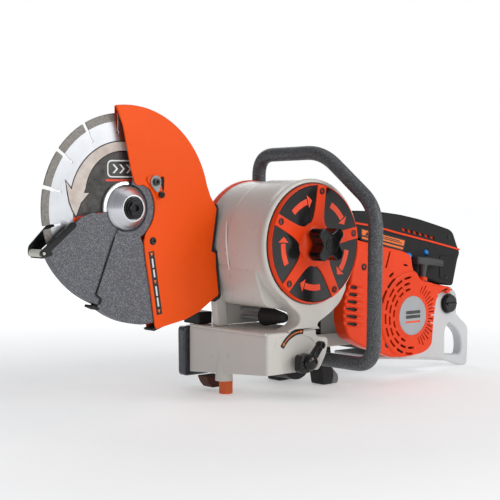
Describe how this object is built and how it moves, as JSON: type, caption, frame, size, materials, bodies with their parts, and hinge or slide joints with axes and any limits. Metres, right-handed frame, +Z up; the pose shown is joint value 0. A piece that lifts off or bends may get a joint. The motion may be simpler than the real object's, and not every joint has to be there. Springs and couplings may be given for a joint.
{
  "type": "concrete cut-off saw",
  "caption": "Petrol hand concrete saw: toothed diamond disc under an orange guard with swinging grey segments, a white suction drum with turning filter, dust bin, tube handle and rear grip.",
  "frame": {"origin": "centre of the bounding box at the ground plane the saw stands on", "axes": "+X to the rear grip, -X to the blade, -Y to the operator's left, +Z up"},
  "size_m": [0.9491, 0.3307, 0.484],
  "materials": {
    "blade_steel": "ground steel core with sintered diamond rim segments",
    "machined_steel": "turned steel",
    "dark_steel": "black oxide",
    "machined_aluminium": "turned, satin",
    "cast_alloy": "as cast",
    "orange_paint": "smooth powder coat",
    "orange_plastic": "moulded, semi-gloss",
    "hammer_grey": "speckled hammer finish",
    "handle_grey": "textured powder coat",
    "white_plastic": "moulded, satin",
    "black_plastic": "moulded, fine texture",
    "black_rubber": "moulded rubber",
    "orange_rubber": "moulded rubber",
    "cream_nylon": "turned nylon",
    "blue_plastic": "moulded, glossy",
    "filter_media": "pleated paper"
  },
  "bodies": {
    "frame": {"drive_arm": "cast_alloy", "belt_cover": "black_plastic", "spindle_bearing": "machined_steel", "drive_belt": "black_rubber", "guard_shell": "orange_paint", "guard_trim_upper": "black_rubber", "guard_trim_lower": "black_rubber", "latch_bolt": "dark_steel", "dust_duct": "black_rubber", "drum_housing": "white_plastic", "dust_bin": "white_plastic", "drum_back_plate": "orange_plastic", "filter_panel": "black_plastic", "spoke_cover": "orange_plastic", "front_handle": "handle_grey", "foot_left": "black_rubber", "foot_right": "black_rubber", "chassis_plate": "white_plastic", "front_foot": "orange_rubber", "bin_side_plate": "black_plastic", "isolator_boot": "black_rubber", "crankcase": "cast_alloy", "cylinder": "cast_alloy", "muffler": "machined_steel", "starter_housing": "orange_plastic", "top_cover": "black_plastic", "air_filter": "filter_media", "carburettor": "machined_aluminium", "fuel_tank_grip": "white_plastic"},
    "blade": {"diamond_blade": "blade_steel", "outer_flange": "machined_aluminium", "inner_flange": "machined_aluminium", "spindle": "machined_steel", "arbor_washer": "dark_steel", "arbor_bolt": "dark_steel", "spindle_pulley": "cast_alloy"},
    "crank": {"crankshaft": "machined_steel", "flywheel": "cast_alloy", "crank_pulley": "cast_alloy"},
    "fan": {"suction_fan": "cast_alloy", "fan_pulley": "cast_alloy"},
    "filter": {"spin_knob": "black_plastic", "filter_cartridge": "filter_media"},
    "front_guard": {"guard_segment_front": "hammer_grey", "roller_bracket": "black_plastic"},
    "middle_guard": {"guard_segment_middle": "hammer_grey", "guard_wiper_strip": "black_rubber"},
    "roller": {"guide_roller": "cream_nylon"},
    "dump_valve": {"dump_lever": "black_plastic", "dump_barrel": "black_plastic"},
    "latch": {"latch_lever": "orange_paint"},
    "starter_pull_grip": {"starter_grip": "black_plastic"},
    "starter_reel": {"starter_pulley": "black_plastic"},
    "trigger": {"throttle_trigger": "black_plastic"},
    "trigger_lock": {"throttle_lock": "black_plastic"},
    "decompressor": {"decompression_button": "blue_plastic"},
    "primer": {"primer_bulb": "blue_plastic"},
    "stop_button": {"stop_switch": "black_plastic"},
    "choke": {"choke_knob": "orange_plastic"},
    "cap": {"fuel_cap": "black_plastic"}
  },
  "joints": [
    {"name": "blade_spin", "type": "hinge", "parent": "frame", "child": "blade", "pos_m": [-0.3114, 0.0813, 0.319], "axis": [0, -1, 0], "continuous": true},
    {"name": "crank_spin", "type": "hinge", "parent": "frame", "child": "crank", "pos_m": [0.2196, 0.0813, 0.121], "axis": [0, -1, 0], "continuous": true},
    {"name": "fan_spin", "type": "hinge", "parent": "frame", "child": "fan", "pos_m": [-0.0274, 0.0813, 0.258], "axis": [0, -1, 0], "continuous": true},
    {"name": "filter_spin", "type": "hinge", "parent": "frame", "child": "filter", "pos_m": [-0.0274, 0.0813, 0.258], "axis": [0, -1, 0], "continuous": true},
    {"name": "front_guard_swing", "type": "hinge", "parent": "frame", "child": "front_guard", "pos_m": [-0.3114, 0.0813, 0.319], "axis": [0, -1, 0], "range_deg": [0, 70]},
    {"name": "middle_guard_swing", "type": "hinge", "parent": "frame", "child": "middle_guard", "pos_m": [-0.3114, 0.0813, 0.319], "axis": [0, -1, 0], "range_deg": [0, 35]},
    {"name": "roller_spin", "type": "hinge", "parent": "front_guard", "child": "roller", "pos_m": [-0.4686, 0.0813, 0.2518], "axis": [0, -1, 0], "continuous": true},
    {"name": "dump_lever_turn", "type": "hinge", "parent": "frame", "child": "dump_valve", "pos_m": [-0.0524, 0.0813, 0.063], "axis": [0, -1, 0], "range_deg": [0, 90]},
    {"name": "latch_turn", "type": "hinge", "parent": "frame", "child": "latch", "pos_m": [-0.2604, 0.0813, 0.361], "axis": [0, -1, 0], "range_deg": [0, 45]},
    {"name": "starter_pull", "type": "slide", "parent": "frame", "child": "starter_pull_grip", "axis": [0.1994, 0, 0.9799], "range_m": [0, 0.6], "stiffness_N_per_m": 8},
    {"name": "starter_reel_spin", "type": "hinge", "parent": "frame", "child": "starter_reel", "pos_m": [0.2196, 0.0813, 0.121], "axis": [0, -1, 0], "range_deg": [0, 1120]},
    {"name": "throttle_pull", "type": "hinge", "parent": "frame", "child": "trigger", "pos_m": [0.3886, 0.0813, 0.097], "axis": [0, -1, 0], "range_deg": [0, 12], "stiffness_Nm_per_rad": 0.3},
    {"name": "throttle_lock_press", "type": "hinge", "parent": "frame", "child": "trigger_lock", "pos_m": [0.4256, 0.0813, 0.118], "axis": [0, -1, 0], "range_deg": [0, 8], "stiffness_Nm_per_rad": 0.3},
    {"name": "decompression_press", "type": "slide", "parent": "frame", "child": "decompressor", "axis": [0, 1, 0], "range_m": [0, 0.004], "stiffness_N_per_m": 300},
    {"name": "primer_press", "type": "slide", "parent": "frame", "child": "primer", "axis": [0, 1, 0], "range_m": [0, 0.003], "stiffness_N_per_m": 300},
    {"name": "stop_press", "type": "slide", "parent": "frame", "child": "stop_button", "axis": [0, 1, 0], "range_m": [0, 0.002], "stiffness_N_per_m": 300},
    {"name": "choke_pull", "type": "slide", "parent": "frame", "child": "choke", "axis": [0, -1, 0], "range_m": [0, 0.012]},
    {"name": "fuel_cap_turn", "type": "hinge", "parent": "frame", "child": "cap", "pos_m": [0.3666, 0.0813, 0.131], "axis": [0, -1, 0], "range_deg": [0, 90]}
  ],
  "couplings": [
    {"joint": "crank_spin", "follows": "blade_spin", "ratio": 1.6429},
    {"joint": "fan_spin", "follows": "blade_spin", "ratio": 2.3},
    {"joint": "middle_guard_swing", "follows": "front_guard_swing", "ratio": 0.5},
    {"joint": "starter_reel_spin", "follows": "starter_pull", "rad_per_m": 32.258}
  ]
}
